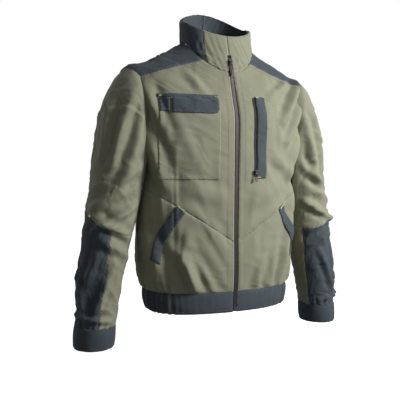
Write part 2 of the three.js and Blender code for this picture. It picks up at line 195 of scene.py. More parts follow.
def woven(name, colour, worn, roughness=0.82, pitch=0.0011, sheen=0.25):
    """Twill: diagonal ribs, uneven dye, and edges rubbed paler where the cloth is folded over."""
    paint, shader, pen = finish(name, roughness, sheen=sheen)
    place = pen.node("ShaderNodeUVMap", {"uv_map": "cloth"})
    across = pen.node("ShaderNodeSeparateXYZ", None, {0: place}, output=0)
    up = pen.node("ShaderNodeSeparateXYZ", None, {0: place}, output=1)
    rib = ((across + up * 1.6) * (2 * math.pi / pitch)).sine() * 0.5 + 0.5
    where = pen.node("ShaderNodeTexCoord", None, None, output=3)
    cloudy = pen.node("ShaderNodeTexNoise", None, {"Vector": where, "Scale": 9.0, "Detail": 4.0})
    fibre = pen.node("ShaderNodeTexNoise", None, {"Vector": where, "Scale": 420.0, "Detail": 2.0})
    edge = pen.node("ShaderNodeAttribute", {"attribute_name": "edge"}, None, output=2)
    rub = (edge * (fibre * 0.4 + 0.1) + (cloudy - 0.5) * 0.7 + (rib - 0.5) * 0.16).clamp()
    dark_side = tuple(channel * 0.84 for channel in colour) + (1,)
    dyed = (cloudy * 0.8 + rib * 0.25).clamp().blend(dark_side, colour + (1,))
    connect(rub.blend(dyed, worn + (1,)), shader, "Base Color")
    pucker = (up * 620.0 + across * 540.0 + cloudy * 16.0).sine() * edge
    height = rib * 0.22 + fibre * 0.35 + pucker * 0.8
    bump = pen.node("ShaderNodeBump", None, {"Height": height, "Strength": 0.5, "Distance": 0.0007})
    connect(bump, shader, "Normal")
    connect(cloudy * 0.1 + (roughness - 0.05), shader, "Roughness")
    return paint


def grained(name, colour, roughness, metallic=0.0, scale=900.0):
    """Thread, tape or metal: one colour broken by a fine grain."""
    paint, shader, pen = finish(name, roughness, metallic)
    where = pen.node("ShaderNodeTexCoord", None, None, output=3)
    grain = pen.node("ShaderNodeTexNoise", None, {"Vector": where, "Scale": scale, "Detail": 3.0})
    low = tuple(channel * 0.6 for channel in colour) + (1,)
    connect(grain.blend(low, colour + (1,)), shader, "Base Color")
    bump = pen.node("ShaderNodeBump", None, {"Height": grain, "Strength": 0.4, "Distance": 0.0003})
    connect(bump, shader, "Normal")
    connect(grain * 0.25 + (roughness - 0.12), shader, "Roughness")
    return paint


olive_twill = woven("olive_twill", (0.212, 0.216, 0.146), (0.28, 0.285, 0.205), sheen=0.15)
slate_twill = woven("slate_twill", (0.036, 0.049, 0.060), (0.075, 0.096, 0.113), sheen=0.1)
dark_lining = woven("dark_lining", (0.022, 0.026, 0.03), (0.04, 0.045, 0.05), pitch=0.0006, sheen=0.1)
zip_tape = grained("zip_tape", (0.022, 0.019, 0.021), 0.85, scale=1400)
lime_thread = grained("lime_thread", (0.62, 0.70, 0.26), 0.7, scale=1500)
olive_thread = grained("olive_thread", (0.17, 0.16, 0.105), 0.8, scale=1500)
slate_thread = grained("slate_thread", (0.12, 0.145, 0.165), 0.8, scale=1500)
blackened_metal = grained("blackened_metal", (0.10, 0.088, 0.098), 0.52, metallic=0.75, scale=300)
finish_of = {
    "olive_twill": olive_twill, "slate_twill": slate_twill, "dark_lining": dark_lining,
    "zip_tape": zip_tape, "lime_thread": lime_thread, "zip_metal": blackened_metal,
}
slot_of = {entry["node"]: entry["material_slot"] for entry in frame["record"]["subparts"]}
body_of = {node: body for body, nodes in frame["record"]["behaviour"]["bodies"].items() for node in nodes}

# The trunk: one fine sheet lofted through the same levels as the frame, creased where the worn cloth
# creases, then cut along its seams into fronts, skirts, yokes and back, as the panels were sewn.
# A level holds its heights at front, side and back, half width, front and back depth, and squareness.
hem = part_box("waistband_back")[0][2]
band_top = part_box("back_panel")[0][2]
breast = -0.2
neck_drop = -0.092
lean = 0.275


def flat(z, half, front, back, square=2.4):
    return (z, z, z, half, front, back, square)


def front_at(z):
    return 0.117 - max(0.0, z - breast) * lean


def share_height(share):
    return band_top + share * (breast - band_top)


trunk_levels = np.array([
    flat(band_top, 0.184, 0.110, 0.112),
    flat(share_height(0.04), 0.193, 0.113, 0.122),
    flat(share_height(0.15), 0.202, 0.115, 0.130),
    flat(share_height(0.35), 0.200, 0.114, 0.130),
    flat(share_height(0.67), 0.200, 0.116, 0.130, 2.5),
    flat(share_height(0.85), 0.211, 0.117, 0.128, 2.6),
    flat(breast, 0.222, 0.117, 0.122, 2.6),
    (-0.160, -0.140, -0.130, 0.230, front_at(-0.160), 0.114, 2.6),
    (-0.135, -0.088, -0.080, 0.234, front_at(-0.135), 0.106, 2.4),
    (-0.118, -0.062, -0.045, 0.179, front_at(-0.118), 0.100, 2.2),
    (-0.105, -0.036, -0.015, 0.125, front_at(-0.105), 0.094, 2.0),
    (neck_drop, -0.012, 0.012, 0.089, front_at(neck_drop), 0.088, 2.0),
])
band_levels = np.array([
    flat(hem, 0.178, 0.108, 0.112),
    flat((hem + band_top) / 2, 0.183, 0.110, 0.114),
    flat(band_top, 0.184, 0.110, 0.112),
    flat(band_top + 0.004, 0.1805, 0.1065, 0.1085),
])
collar_levels = np.array([
    (neck_drop, -0.012, 0.012, 0.089, front_at(neck_drop), 0.088, 2.0),
    (-0.047, 0.012, 0.050, 0.090, front_at(-0.047), 0.089, 2.0),
    (-0.002, 0.036, 0.088, 0.091, front_at(-0.002), 0.086, 2.0),
])


def through(rows, at):
    """Rows of values read at fractional places along them, on a smooth curve."""
    last = len(rows) - 1
    low = np.clip(at.astype(int), 0, last - 1)
    step = (at - low)[:, None]
    before, start = rows[np.maximum(low - 1, 0)], rows[low]
    end, after = rows[low + 1], rows[np.minimum(low + 2, last)]
    bend = 2 * before - 5 * start + 4 * end - after
    return 0.5 * (2 * start + (end - before) * step + bend * step ** 2
                  + (3 * start - before - 3 * end + after) * step ** 3)


def on_levels(rows, angle, at):
    """Points of the lofted body at angles from the wearer's left and places along its levels."""
    zf, zs, zb, half, front, back, square = through(rows, at).T
    c, s = np.cos(angle), np.sin(angle)
    ahead = s < 0
    bend = np.abs(s) ** 1.5
    x = np.sign(c) * np.abs(c) ** (2 / square) * half
    y = np.sign(s) * np.abs(s) ** (2 / square) * np.where(ahead, front, back)
    return np.stack([x, y, zs + (np.where(ahead, zf, zb) - zs) * bend], axis=1)


def sheet_mesh(columns, rows, shape):
    """A grid bent round into a tube by shape(around, along), with its cloth map in metres."""
    mesh = bmesh.new()
    bmesh.ops.create_grid(mesh, x_segments=columns, y_segments=rows, size=0.5)
    flat_places = np.array([v.co[:2] for v in mesh.verts]) + 0.5
    points = shape(flat_places[:, 0], flat_places[:, 1])
    cloth_map = mesh.loops.layers.uv.new("cloth")
    for face in mesh.faces:
        for loop in face.loops:
            loop[cloth_map].uv = flat_places[loop.vert.index]
    for vert, point in zip(mesh.verts, points):
        vert.co = point
    return mesh


def close_tube(mesh):
    bmesh.ops.remove_doubles(mesh, verts=mesh.verts, dist=1e-5)
    mesh.normal_update()


def stretch_map(mesh, width, height):
    cloth_map = mesh.loops.layers.uv["cloth"]
    for face in mesh.faces:
        for loop in face.loops:
            u, v = loop[cloth_map].uv
            loop[cloth_map].uv = (u * width, v * height)


def ridge(points, start, end, width, height):
    """How far a crease from start to end lifts each point: a rounded ridge with shallow valleys."""
    line = np.array(end) - np.array(start)
    along = np.clip(((points - start) @ line) / (line @ line), 0, 1)
    away = np.linalg.norm(points - (start + along[:, None] * line), axis=1) / width
    taper = np.sin(np.pi * np.clip(along * 0.86 + 0.07, 0, 1)) ** 0.6
    return height * taper * (np.exp(-away ** 2) - 0.4 * np.exp(-((away - 1.9) / 0.9) ** 2))


def crumple(points, scale, seed, layers=5):
    """Irregular soft crumpling: warped waves in random directions, sharpened into creases."""
    chance = np.random.default_rng(seed)
    total = np.zeros(len(points))
    warp = np.zeros(len(points))
    for layer in range(layers):
        direction = chance.normal(size=3)
        direction /= np.linalg.norm(direction)
        phase = chance.uniform(0, 2 * math.pi)
        size = scale * chance.uniform(0.7, 1.5)
        wave = np.sin(points @ direction * 2 * math.pi / size + phase + 1.7 * warp)
        total += 1 - 2 * np.abs(wave) ** 1.4 if layer % 2 else wave
        warp = wave
    return total / layers


def fade(value, low, high):
    share = np.clip((value - low) / (high - low), 0, 1)
    return share * share * (3 - 2 * share)


# Creases of the trunk, each a start and an end in x and z, a width and a height.
front_folds = [
    ((0.205, -0.095), (0.135, -0.2), 0.011, 0.0075), ((0.215, -0.15), (0.15, -0.25), 0.01, 0.006),
    ((0.212, -0.21), (0.165, -0.33), 0.013, 0.007), ((0.165, -0.1), (0.1, -0.145), 0.009, 0.003),
    ((-0.205, -0.13), (-0.165, -0.25), 0.011, 0.006), ((-0.205, -0.22), (-0.16, -0.36), 0.013, 0.007),
    ((-0.12, -0.47), (-0.105, -0.59), 0.012, 0.004), ((-0.178, -0.55), (-0.168, -0.605), 0.010, -0.003),
    ((-0.14, -0.5), (-0.09, -0.6), 0.012, 0.008), ((-0.1, -0.52), (-0.055, -0.6), 0.009, 0.004),
    ((-0.192, -0.46), (-0.172, -0.59), 0.01, 0.006), ((0.16, -0.44), (0.13, -0.6), 0.012, 0.007),
    ((0.12, -0.5), (0.09, -0.605), 0.01, 0.004), ((0.07, -0.53), (0.05, -0.605), 0.009, 0.003),
    ((-0.06, -0.45), (-0.015, -0.52), 0.012, 0.003), ((0.185, -0.36), (0.165, -0.5), 0.012, 0.006),
    ((-0.12, -0.36), (-0.03, -0.385), 0.016, 0.003), ((0.13, -0.35), (0.03, -0.4), 0.016, 0.003),
    ((-0.11, -0.1), (-0.07, -0.15), 0.009, 0.003), ((0.1, -0.28), (0.17, -0.33), 0.013, 0.004),
]
back_folds = [
    ((0.2, -0.14), (0.1, -0.3), 0.014, 0.007), ((-0.2, -0.14), (-0.1, -0.3), 0.014, 0.007),
    ((0.19, -0.24), (0.12, -0.42), 0.013, 0.006), ((-0.19, -0.24), (-0.12, -0.42), 0.013, 0.006),
    ((0.04, -0.3), (0.07, -0.56), 0.016, 0.006), ((-0.05, -0.34), (-0.07, -0.58), 0.016, 0.006),
    ((0.0, -0.42), (0.01, -0.6), 0.014, 0.006), ((0.14, -0.42), (0.12, -0.59), 0.013, 0.007),
    ((-0.14, -0.42), (-0.12, -0.59), 0.013, 0.007), ((-0.08, -0.17), (0.08, -0.18), 0.02, 0.003),
]


fold_depth = 1.65


def crease_trunk(points, normals):
    x, y, z = points.T
    lift = np.zeros(len(points))
    face_on = points * (1, 0, 1)
    front_share = fade(-y, -0.03, 0.03)
    for folds, share in ((front_folds, front_share), (back_folds, 1 - front_share)):
        for (x0, z0), (x1, z1), width, height in folds:
            lift += share * ridge(face_on, (x0, 0, z0), (x1, 0, z1), width, height * fold_depth)
    lift += 0.0034 * crumple(points, 0.17, 3) + 0.0013 * crumple(points, 0.06, 8)
    turn = np.arctan2(y * 1.5, x)
    gather = 1 - fade(z, band_top, band_top + 0.075)
    waves = np.sin(turn * 46 + 3 * np.sin(turn * 5)) * 0.6 + np.sin(turn * 29 + 2) * 0.5
    beside = fade(np.abs(x), 0.1, 0.155) + fade(y, 0.02, 0.1) * 0.5
    lift += gather * waves * (0.0006 + 0.0026 * np.clip(beside, 0, 1)) * fade(z, band_top, band_top + 0.01)
    calm = fade(np.abs(x), 0.008, 0.03) * front_share + (1 - front_share)
    collar_seam = 1 - 0.8 * fade(z + 0.45 * np.abs(y), -0.05, 0.0) * (np.abs(x) < 0.12)
    lift *= calm * collar_seam * fade(z, band_top - 0.004, band_top + 0.012)
    return points + normals * lift[:, None]


def creased(mesh, crease):
    mesh.normal_update()
    points = np.array([v.co for v in mesh.verts])
    normals = np.array([v.normal for v in mesh.verts])
    for vert, point in zip(mesh.verts, crease(points, normals)):
        vert.co = point
    mesh.normal_update()


def loft_sheet(levels, columns, rows):
    def shape(around, along):
        return on_levels(levels, (around - 0.25) * 2 * math.pi, along * (len(levels) - 1))
    mesh = sheet_mesh(columns, rows, shape)
    close_tube(mesh)
    return mesh


trunk = loft_sheet(trunk_levels, 336, 220)
stretch_map(trunk, 1.1, 0.7)
creased(trunk, crease_trunk)
trunk_tree = BVHTree.FromBMesh(trunk)


def split_along(mesh, point, normal, drop=False):
    """Cuts a mesh along a plane, drops what is behind it if asked, and returns the cut."""
    geometry = mesh.verts[:] + mesh.edges[:] + mesh.faces[:]
    made = bmesh.ops.bisect_plane(mesh, geom=geometry, dist=1e-6, plane_co=point, plane_no=normal,
                                  clear_inner=drop)
    return made["geom_cut"]


def as_object(name, mesh, *paints):
    data = bpy.data.meshes.new(name)
    mesh.to_mesh(data)
    mesh.free()
    for paint in paints:
        data.materials.append(paint)
    piece = bpy.data.objects.new(name, data)
    bpy.context.collection.objects.link(piece)
    return piece


def stands_for(node, piece):
    """The piece rides on its CAD node's body and replaces the node."""
    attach(piece, body_of[node])
    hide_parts(node)


cloth_thickness = 0.0026


def panel(name, sheet, cuts, paint, lining, thickness=cloth_thickness):
    """One sewn panel: a sheet cut by planes, each given as a point and the direction to keep."""
    mesh = sheet.copy()
    for point, keep in cuts:
        split_along(mesh, point, keep, drop=True)
    settle(name, mesh, paint, lining, thickness)


def settle(name, mesh, paint, lining, thickness):
    """Marks how near each point is to a sewn edge, rolls that edge in and gives the cloth thickness."""
    nearness = mesh.verts.layers.float.new("edge")
    border = [v for v in mesh.verts if v.is_boundary]
    if border:
        tree = KDTree(len(border))
        for index, vert in enumerate(border):
            tree.insert(vert.co, index)
        tree.balance()
        for vert in mesh.verts:
            away = tree.find(vert.co)[2]
            vert[nearness] = math.exp(-(away / 0.0045) ** 2)
            vert.co -= vert.normal * (0.0011 * math.exp(-(away / 0.0022) ** 2))
    for face in mesh.faces:
        face.smooth = True
    piece = as_object(name, mesh, paint, lining)
    solidify = piece.modifiers.new("cloth", "SOLIDIFY")
    solidify.thickness = thickness
    solidify.offset = -1
    solidify.use_even_offset = False
    solidify.material_offset = 1
    solidify.material_offset_rim = 0
    stands_for(name, piece)


zip_slot = 0.0052
yoke_height = -0.042
yoke_slope = 0.33
skirt_height = -0.49
skirt_slope = 0.63
centre_cut = {"right": ((-zip_slot, 0, 0), (-1, 0, 0)), "left": ((zip_slot, 0, 0), (1, 0, 0))}
side_sign = {"right": -1, "left": 1}
for side, sign in side_sign.items():
    yoke_plane = Vector((sign * yoke_slope, 0, 1))
    skirt_plane = Vector((-sign * skirt_slope, 0, 1))
    over_yoke, under_yoke = ((0, 0, yoke_height), yoke_plane), ((0, 0, yoke_height), -yoke_plane)
    upper, lower = ((0, 0, skirt_height), skirt_plane), ((0, 0, skirt_height), -skirt_plane)
    ahead = ((0, 0, 0), (0, -1, 0))
    front = [ahead, centre_cut[side]]
    panel(f"front_panel_{side}", trunk, front + [under_yoke, upper], olive_twill, dark_lining)
    panel(f"front_skirt_{side}", trunk, front + [under_yoke, lower], olive_twill, dark_lining)
    panel(f"yoke_front_{side}", trunk, front + [over_yoke], slate_twill, dark_lining)
back_yoke = (0, 0, -0.13)
panel("yoke_back", trunk, [((0, 0, 0), (0, 1, 0)), (back_yoke, (0, 0, 1))], slate_twill, dark_lining)
panel("back_panel", trunk, [((0, 0, 0), (0, 1, 0)), (back_yoke, (0, 0, -1))], olive_twill, dark_lining)

# Waistband: doubled slate twill, plain in front and gathered over elastic at the sides and back. Its
# top edge is tucked in behind the trunk, so that no light shows through the seam.
gathers = 64


def crease_band(points, normals):
    x, y, z = points.T
    turn = np.arctan2(y * 1.5, x)
    elastic = fade(np.abs(x), 0.125, 0.15)
    waves = np.sin(turn * gathers + np.sin(turn * 11)) * 0.7 + np.sin(turn * 37 + 1) * 0.3
    lift = waves * (0.0002 + 0.0021 * elastic) + 0.0009 * crumple(points, 0.07, 21)
    share = (z - hem) / (band_top - hem)
    lift += 0.0012 * np.sqrt(np.clip(share * (1 - share) * 4, 0, 1))
    calm = 1 - (1 - fade(np.abs(x), 0.006, 0.02)) * (y < 0)
    return points + normals * (lift * calm)[:, None]


def face_out(mesh, middle):
    """Turns a tube right side out, judged from the middle line that it goes round."""
    mesh.normal_update()
    outward = sum(face.normal.dot(face.calc_center_median() - middle(face)) for face in mesh.faces)
    if outward < 0:
        bmesh.ops.reverse_faces(mesh, faces=mesh.faces)
    mesh.normal_update()


band = loft_sheet(band_levels, 420, 20)
stretch_map(band, 1.0, 0.048)
creased(band, crease_band)
elastic_start = 0.14
band_thickness = 0.0045
for side, sign in side_sign.items():
    plain = [((sign * elastic_start, 0, 0), (-sign, 0, 0)), ((0, 0, 0), (0, -1, 0)), centre_cut[side]]
    panel(f"waistband_front_{side}", band, plain, slate_twill, dark_lining, band_thickness)
    gathered = [((sign * elastic_start, 0, 0), (sign, 0, 0))]
    panel(f"waistband_elastic_{side}", band, gathered, slate_twill, dark_lining, band_thickness)
between = [((-elastic_start, 0, 0), (1, 0, 0)), ((elastic_start, 0, 0), (-1, 0, 0)), ((0, 0, 0), (0, 1, 0))]
panel("waistband_back", band, between, slate_twill, dark_lining, band_thickness)


# Stand collar: olive front pieces and a slate back piece on a slate lining, puckered by its seams.
# The lining is a second sheet inside it, kept clear of the zip.
def crease_collar(points, normals):
    x, y, z = points.T
    turn = np.arctan2(y, x)
    folded_edge = fade(z - 0.5 * np.maximum(0, y), -0.03, 0.0) * 0.7
    lift = (0.0024 * crumple(points, 0.075, 5) + 0.0006 * crumple(points, 0.03, 6)) * (1 - folded_edge)
    lift += 0.0005 * np.sin(turn * 34 + 9 * z / 0.05) * (1 - folded_edge)
    calm = 1 - (1 - fade(np.abs(x), 0.004, 0.025)) * (y < 0)
    return points + normals * (lift * calm)[:, None]


def kept_panel(name, sheet, planes, keep, paint, thickness):
    """One sewn panel whose edges follow several seams: split along them, then thinned to what it keeps."""
    mesh = sheet.copy()
    for point, normal in planes:
        split_along(mesh, point, normal)
    spare = [face for face in mesh.faces if not keep(face.calc_center_median())]
    bmesh.ops.delete(mesh, geom=spare, context="FACES")
    settle(name, mesh, paint, slate_twill, thickness)


collar = loft_sheet(collar_levels, 300, 44)
stretch_map(collar, 0.55, 0.09)
creased(collar, crease_collar)
collar_seam_x = -0.057
collar_seam_y = -0.015
slot_top = -0.05
butt = 0.0006
collar_planes = [
    ((collar_seam_x, 0, 0), (1, 0, 0)), ((0, collar_seam_y, 0), (0, 1, 0)), ((0, 0, slot_top), (0, 0, 1)),
    ((zip_slot, 0, 0), (1, 0, 0)), ((-zip_slot, 0, 0), (1, 0, 0)), ((butt, 0, 0), (1, 0, 0)),
    ((-butt, 0, 0), (1, 0, 0)),
]


def beside_zip(place):
    return abs(place.x) > (zip_slot if place.z < slot_top else butt)


def is_collar_front(place, sign):
    if place.y > collar_seam_y or place.x * sign < 0 or not beside_zip(place):
        return False
    return place.x > collar_seam_x


def is_collar_back(place):
    return place.x < collar_seam_x or place.y > collar_seam_y


collar_thickness = 0.0058
for side, sign in side_sign.items():
    kept_panel(f"collar_front_{side}", collar, collar_planes, lambda place: is_collar_front(place, sign),
               olive_twill, collar_thickness)
kept_panel("collar_back", collar, collar_planes, is_collar_back, slate_twill, collar_thickness)
collar_inside = collar.copy()
for vert in collar_inside.verts:
    vert.co -= vert.normal * (collar_thickness + 0.0008)
lining_thickness = 0.0018
kept_panel("collar_lining", collar_inside, collar_planes, beside_zip, slate_twill, lining_thickness)
collar_tree = BVHTree.FromBMesh(collar)

# Sleeves: a tube down each arm from inside the armhole to the cuff, creased at the shoulder, elbow and
# wrist, cut into an upper sleeve, a slate patch outside the forearm and an olive strip inside it.
sleeve_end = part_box("cuff_left")[0][2]
cuff_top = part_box("cuff_left")[1][2]


def arm_height(share):
    return -0.35 + share * (cuff_top + 0.35)


arm_rings = np.array([
    (0.190, -0.165, 80, 0.082, 0.062), (0.211, -0.172, 76, 0.089, 0.074), (0.223, -0.209, 50, 0.079, 0.075),
    (0.233, -0.274, 22, 0.070, 0.072), (0.250, arm_height(0), 9, 0.062, 0.067),
    (0.269, arm_height(0.28), 5, 0.058, 0.063), (0.284, arm_height(0.56), 3, 0.053, 0.058),
    (0.298, arm_height(0.84), 2, 0.049, 0.053), (0.304, cuff_top, 0, 0.047, 0.051),
])
cuff_rings = np.array([
    (0.3035, cuff_top + 0.004, 0, 0.0435, 0.0475),
    (0.304, cuff_top, 0, 0.047, 0.051), (0.3055, (cuff_top + sleeve_end) / 2, 0, 0.0475, 0.051),
    (0.307, sleeve_end, 0, 0.046, 0.049),
])
armpit = -0.29


def body_edge(y, z):
    """Half width of the trunk at a depth and height below the armpit."""
    side_heights = trunk_levels[:, 1]
    half, front, back, square = (np.interp(z, side_heights, trunk_levels[:, key]) for key in (3, 4, 5, 6))
    reach = np.clip(np.abs(y) / np.where(y < 0, front, back), 0, 1)
    return half * (1 - reach ** square) ** (1 / square)


def arm_tube(rings, sign, around, along):
    x, z, slope, wide, deep = through(rings, along * (len(rings) - 1)).T
    angle = around * 2 * math.pi
    slope = np.radians(slope)
    reach = wide * np.cos(angle)
    across = x + reach * np.cos(slope)
    depth = deep * np.sin(angle)
    height = z + reach * np.sin(slope)
    near_trunk = fade(-height, -armpit, -armpit + 0.03) * (height > hem)
    clear = body_edge(depth, np.maximum(height, band_top)) + 0.0065
    across += near_trunk * np.maximum(0, clear - across)
    return np.stack([sign * across, depth, height], axis=1)


# Creases of a sleeve, each a start and an end in degrees from its outside and height, a width and a height.
sleeve_folds = [
    ((-27, -0.13), (-32, -0.29), 0.010, 0.006), ((25, -0.14), (38, -0.38), 0.012, 0.006),
    ((-72, -0.15), (-58, -0.31), 0.010, 0.006), ((-105, -0.19), (-85, -0.37), 0.011, 0.006),
    ((-140, -0.29), (-60, -0.37), 0.011, 0.006), ((-130, -0.40), (-45, -0.455), 0.009, 0.008),
    ((-135, -0.475), (-35, -0.425), 0.009, 0.007), ((-115, -0.36), (-15, -0.415), 0.010, 0.005),
    ((-150, -0.52), (-60, -0.475), 0.010, 0.006), ((60, -0.39), (125, -0.46), 0.011, 0.006),
    ((-62, -0.50), (-30, -0.62), 0.010, 0.005), ((-105, -0.53), (-68, -0.65), 0.010, 0.006),
    ((-5, -0.55), (-52, -0.655), 0.009, 0.005), ((40, -0.48), (20, -0.62), 0.012, 0.005),
    ((-125, -0.66), (-25, -0.643), 0.006, 0.004), ((0, -0.645), (110, -0.662), 0.006, 0.004),
    ((75, -0.2), (95, -0.36), 0.012, 0.006), ((140, -0.45), (100, -0.6), 0.011, 0.006),
    ((10, -0.42), (70, -0.36), 0.010, 0.004), ((-50, -0.6), (30, -0.57), 0.009, 0.003),
]
arm_round = 0.062
sleeve_fold_depth = 1.25


def crease_sleeve(sign):
    def crease(points, normals):
        x, y, z = points.T
        ring = np.interp(-z, -arm_rings[1:, 1], arm_rings[1:, 0])
        angle = np.arctan2(y, sign * x - ring)
        lift = np.zeros(len(points))
        drift = 10 if sign > 0 else 0
        for (a0, z0), (a1, z1), width, height in sleeve_folds:
            middle = math.radians((a0 + a1) / 2 + drift)
            away = (angle - middle + math.pi) % (2 * math.pi) - math.pi
            unrolled = np.stack([away * arm_round, np.zeros(len(z)), z], axis=1)
            swing = math.radians(a1 - a0) / 2 * arm_round
            lift += ridge(unrolled, (-swing, 0, z0), (swing, 0, z1), width, height * sleeve_fold_depth)
        lift += 0.0034 * crumple(points, 0.11, 11 + sign) + 0.0014 * crumple(points, 0.045, 15 + sign)
        lift += 0.0012 * np.sin(angle * 22 + np.sin(angle * 5)) * fade(-z, -cuff_top - 0.03, -cuff_top)
        lift *= 1 - 0.65 * fade(z, -0.2, -0.12)
        beside_trunk = fade(np.abs(x), 0.2, 0.225)
        return points + normals * (lift * beside_trunk)[:, None]
    return crease


patch_turns = {"right": (0.929, 0.37, -0.0159), "left": (0.972, -0.235, -0.0324)}
arm_slope = 0.147
elbow = -0.438
elbow_x = 0.269
sleeve_trees = {}
cuff_trees = {}
sleeves = {}


def arm_middle(face, sign):
    """The point of an arm's middle line at a face's height."""
    height = face.calc_center_median().z
    return Vector((sign * np.interp(-height, -arm_rings[1:, 1], arm_rings[1:, 0]), 0, height))


def patch_seam(side, inset=0.0):
    """The plane between the slate patch and the olive strip: a point of it and its direction."""
    outward, turn, offset = patch_turns[side]
    plane = Vector((side_sign[side] * outward, turn, outward * arm_slope))
    reach = outward * (elbow_x + arm_slope * elbow) + (offset + inset)
    return plane * (reach / plane.length_squared), plane


def crease_cuff(points, normals):
    share = np.clip((points[:, 2] - sleeve_end) / (cuff_top - sleeve_end), 0, 1)
    lift = 0.0009 * crumple(points, 0.05, 31) + 0.0008 * np.sin(np.pi * share)
    return points + normals * lift[:, None]


for side, sign in side_sign.items():
    sleeve = sheet_mesh(190, 230, lambda around, along: arm_tube(arm_rings, sign, around, along))
    close_tube(sleeve)
    face_out(sleeve, lambda face: arm_middle(face, sign))
    stretch_map(sleeve, 0.37, 0.62)
    creased(sleeve, crease_sleeve(sign))
    sleeve_trees[side] = BVHTree.FromBMesh(sleeve)
    elbow_plane = Vector((-sign * 0.4, -0.35, 1))
    elbow_point = (sign * elbow_x, 0, elbow)
    patch_point, patch_plane = patch_seam(side)
    below = (elbow_point, -elbow_plane)
    panel(f"upper_sleeve_{side}", sleeve, [(elbow_point, elbow_plane)], olive_twill, dark_lining)
    panel(f"forearm_patch_{side}", sleeve, [below, (patch_point, patch_plane)], slate_twill, dark_lining)
    panel(f"forearm_strip_{side}", sleeve, [below, (patch_point, -patch_plane)], olive_twill, dark_lining)
    cuff = sheet_mesh(150, 18, lambda around, along: arm_tube(cuff_rings, sign, around, along))
    close_tube(cuff)
    face_out(cuff, lambda face: Vector((sign * 0.305, 0, face.calc_center_median().z)))
    stretch_map(cuff, 0.3, 0.048)
    creased(cuff, crease_cuff)
    cuff_trees[side] = BVHTree.FromBMesh(cuff)
    sleeves[side] = sleeve
    cuff_thickness = 0.004
    panel(f"cuff_{side}", cuff, [], slate_twill, dark_lining, cuff_thickness)


# Pieces sewn flat on the body: each is laid on the creased cloth, corner to corner, and edge-rolled.
# A negative lift lays a piece behind the cloth instead.
def on_front(x, z):
    """The point of the creased fronts seen at x and z, and which way the cloth faces there."""
    hit, normal = trunk_tree.ray_cast(Vector((x, -1, z)), Vector((0, 1, 0)))[:2]
    while hit is None:
        x *= 0.98
        hit, normal = trunk_tree.ray_cast(Vector((x, -1, z)), Vector((0, 1, 0)))[:2]
    return hit, normal


def laid(name, corners, lift, thickness, paint, columns, rows, corner_round=0.0, bow=0.0):
    """Corners, in x and z, run from the lower inner one round to the upper inner one."""
    mesh = bmesh.new()
    bmesh.ops.create_grid(mesh, x_segments=columns, y_segments=rows, size=0.5)
    cloth_map = mesh.loops.layers.uv.new("cloth")
    low_in, low_out, high_out, high_in = (Vector(corner) for corner in corners)
    for vert in mesh.verts:
        u, v = vert.co.x + 0.5, vert.co.y + 0.5
        place = low_in.lerp(low_out, u).lerp(high_in.lerp(high_out, u), v)
        place.x += bow * math.sin(math.pi * v)
        if corner_round > 0:
            outwards = math.copysign(corner_round, low_out.x - low_in.x)
            rounding_middle = low_in + Vector((outwards, corner_round))
            inwards = place - rounding_middle
            if inwards.x * (low_out.x - low_in.x) < 0 and inwards.y < 0:
                largest = max(abs(inwards.x), abs(inwards.y))
                place = rounding_middle + inwards.normalized() * largest
        hit, normal = on_front(place.x, place.y)
        vert.co = hit + normal * lift
    for face in mesh.faces:
        for loop in face.loops:
            loop[cloth_map].uv = (loop.vert.co.x, loop.vert.co.z)
    mesh.normal_update()
    if sum(face.normal.y for face in mesh.faces) > 0:
        bmesh.ops.reverse_faces(mesh, faces=mesh.faces)
    mesh.normal_update()
    settle(name, mesh, paint, paint, thickness)


def rectangle(inner, outer, bottom, top):
    return ((inner, bottom), (outer, bottom), (outer, top), (inner, top))


# Chest pocket on the wearer's right: a patch, a stitched band, a flap that lifts, and a pen slot tab.
# The flap lies highest, so that it lifts clear of the rest.
flap_top = -0.161
flap_bottom = -0.195
pocket_bottom = -0.343
laid("chest_pocket", rectangle(-0.042, -0.178, pocket_bottom, flap_top), 0.0022, 0.002, olive_twill,
     90, 120, 0.004)
laid("flap_band", rectangle(-0.044, -0.18, flap_top, -0.152), 0.0034, 0.0028, slate_twill, 90, 9)
laid("chest_flap", rectangle(-0.044, -0.15, flap_bottom, flap_top - 0.001), 0.0058, 0.0026, slate_twill,
     74, 26, 0.012)
laid("pen_slot_tab", rectangle(-0.154, -0.176, flap_bottom + 0.003, flap_top - 0.001), 0.0054, 0.0024,
     slate_twill, 18, 24)

# Zip pocket on the wearer's left chest: a coil zip beside a raised slate welt. The coil lies lower
# than the welt, and the slider runs along it.
welt_inner = 0.052
welt_top = -0.149
welt_bottom = -0.339
laid("chest_zip_welt", rectangle(welt_inner, 0.079, welt_bottom, welt_top), 0.0034, 0.003, slate_twill,
     18, 110)
laid("chest_zip_coil", rectangle(0.045, 0.0516, welt_bottom + 0.003, welt_top - 0.003), 0.0013, 0.001,
     zip_tape, 6, 100)

# Hand pockets: a slate welt that slants along the side of each skirt. The welt is bowed a little,
# and no slit is cut behind it.
for side, sign in side_sign.items():
    welt = [(sign * x, z) for x, z in ((0.172, -0.533), (0.191, -0.522), (0.1385, -0.402), (0.1205, -0.4165))]
    laid(f"hand_pocket_welt_{side}", welt, 0.0036, 0.003, slate_twill, 20, 90, bow=sign * 0.009)


# Pocket bags: thin dark cloth hanging flat against the inside of the panels, behind the hand
# pockets and the zip pocket.
for side, sign in side_sign.items():
    bag = [(sign * 0.06, -0.59), (sign * 0.16, -0.59), (sign * 0.158, -0.412), (sign * 0.06, -0.438)]
    laid(f"hand_pocket_bag_{side}", bag, -0.0065, 0.0016, dark_lining, 70, 120)
laid("chest_pocket_bag", rectangle(0.048, 0.14, -0.343, -0.149), -0.0065, 0.0016, dark_lining, 60, 120)


